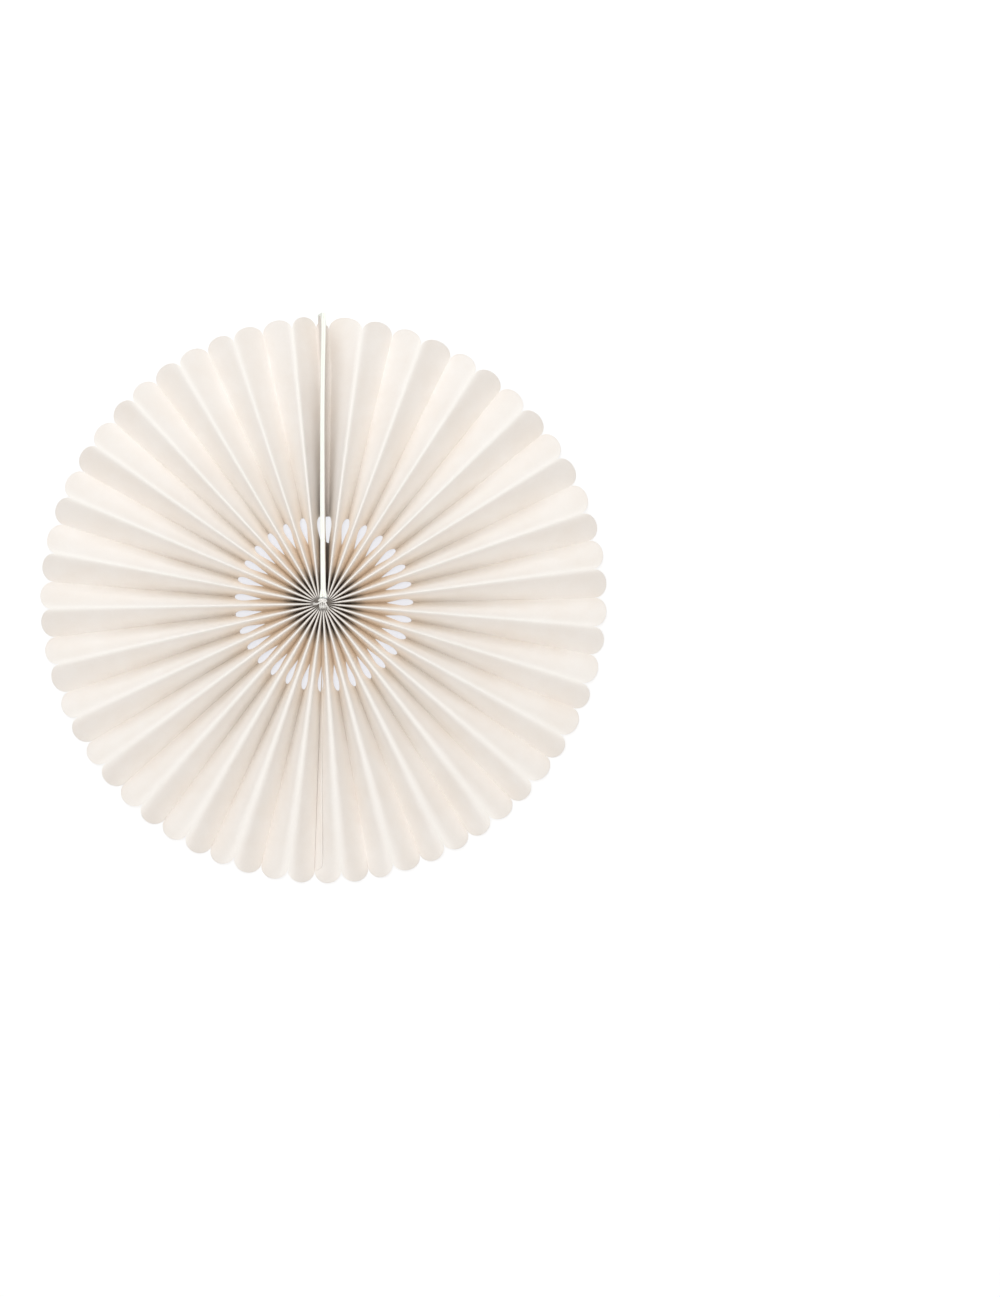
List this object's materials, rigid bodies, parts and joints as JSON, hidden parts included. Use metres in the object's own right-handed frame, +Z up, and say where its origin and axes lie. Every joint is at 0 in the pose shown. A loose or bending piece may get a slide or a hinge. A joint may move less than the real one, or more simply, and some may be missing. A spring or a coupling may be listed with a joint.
{
  "type": "paper fan rosette",
  "caption": "Round pleated paper rosette with a scalloped rim and a ring of drop-shaped cut-outs, tied at its hub and closed by two white card strips.",
  "frame": {"origin": "middle of the hub's back, in the plane of the wall that it hangs on", "axes": "+Z up along the card seam, +Y into the wall through the hub, so the front faces -Y"},
  "size_m": [0.3998, 0.0273, 0.4014],
  "materials": {
    "cream_paper": "matte folded paper, cream white",
    "white_card": "smooth cool white card",
    "adhesive_tape": "thin white double-sided tape",
    "cotton_thread": "white twisted cotton"
  },
  "bodies": {
    "root": {"pleated_paper": "cream_paper", "end_card_left": "white_card", "end_card_right": "white_card", "closing_tape": "adhesive_tape", "binding_thread": "cotton_thread"}
  },
  "joints": []
}
